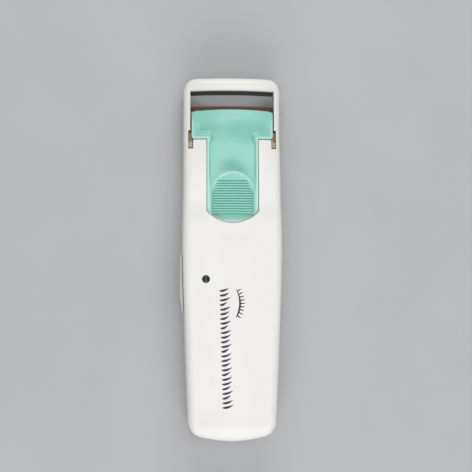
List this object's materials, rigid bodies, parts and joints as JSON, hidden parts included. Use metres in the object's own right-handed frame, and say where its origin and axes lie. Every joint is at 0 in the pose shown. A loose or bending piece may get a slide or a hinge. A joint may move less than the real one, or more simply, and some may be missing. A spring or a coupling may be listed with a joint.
{
  "type": "heated eyelash curler",
  "caption": "Slim battery-heated eyelash curler: white handle with a bent frame head, a mint thumb slider that carries a heated brown pad, a side power switch and a battery door.",
  "frame": {"origin": "on the flat of the back, half-way along the body and half-way across it", "axes": "+Y from the handle end to the curling head, +X to the right seen from the front, +Z out of the front face with the slider"},
  "size_m": [0.0416, 0.1475, 0.0182],
  "materials": {
    "shell": "satin white moulded ABS",
    "door": "satin white moulded ABS",
    "knob": "pale grey moulded ABS",
    "mint": "mint green moulded ABS, semi-gloss",
    "brown_plastic": "dark brown heat-proof plastic",
    "brown_silicone": "brown silicone, matt",
    "black_silicone": "black silicone, matt",
    "grey_plastic": "grey nylon",
    "aluminium": "plain sheet",
    "heater_film": "amber polyimide film heater",
    "ceramic": "off-white ceramic body",
    "wire": "red and black silicone insulation",
    "spring_steel": "nickel-plated wire",
    "contact": "nickel-plated sheet",
    "screw_steel": "zinc-plated steel",
    "board": "green solder mask on glass-epoxy laminate",
    "chip": "black epoxy package with tinned legs",
    "resistor": "beige film resistors",
    "capacitor": "sleeved aluminium can",
    "led": "dark green tinted epoxy",
    "cell": "printed steel can"
  },
  "bodies": {
    "housing": {"front_shell": "shell", "back_shell": "shell", "upper_pad": "black_silicone", "heater_leads": "wire", "return_springs": "spring_steel", "circuit_board": "board", "control_chip": "chip", "resistors": "resistor", "capacitor": "capacitor", "power_led": "led", "led_spacer": "grey_plastic", "switch_body": "chip", "battery_left": "cell", "battery_right": "cell", "contact_springs": "spring_steel", "bridge_contact": "contact", "positive_contact": "contact", "negative_contact": "contact", "case_screws": "screw_steel", "board_screws": "screw_steel"},
    "slider": {"slider_cover": "mint", "slider_guide": "grey_plastic", "slider_screws": "screw_steel", "heater_carrier": "brown_plastic", "carrier_screws": "screw_steel", "heater_pad": "brown_silicone", "heater_plate": "aluminium", "heating_element": "heater_film", "thermal_cutoff": "ceramic"},
    "door": {"battery_door": "door"},
    "switch": {"switch_knob": "knob"}
  },
  "joints": [
    {"name": "slider_press", "type": "slide", "parent": "housing", "child": "slider", "axis": [0, 1, 0], "range_m": [0, 0.0047], "stiffness_N_per_m": 300, "springref_m": -0.004, "deforming": ["return_springs", "heater_leads"]},
    {"name": "battery_door_slide", "type": "slide", "parent": "housing", "child": "door", "axis": [0, -1, 0], "range_m": [0, 0.056]},
    {"name": "power_switch", "type": "slide", "parent": "housing", "child": "switch", "axis": [0, 1, 0], "range_m": [0, 0.003]}
  ]
}
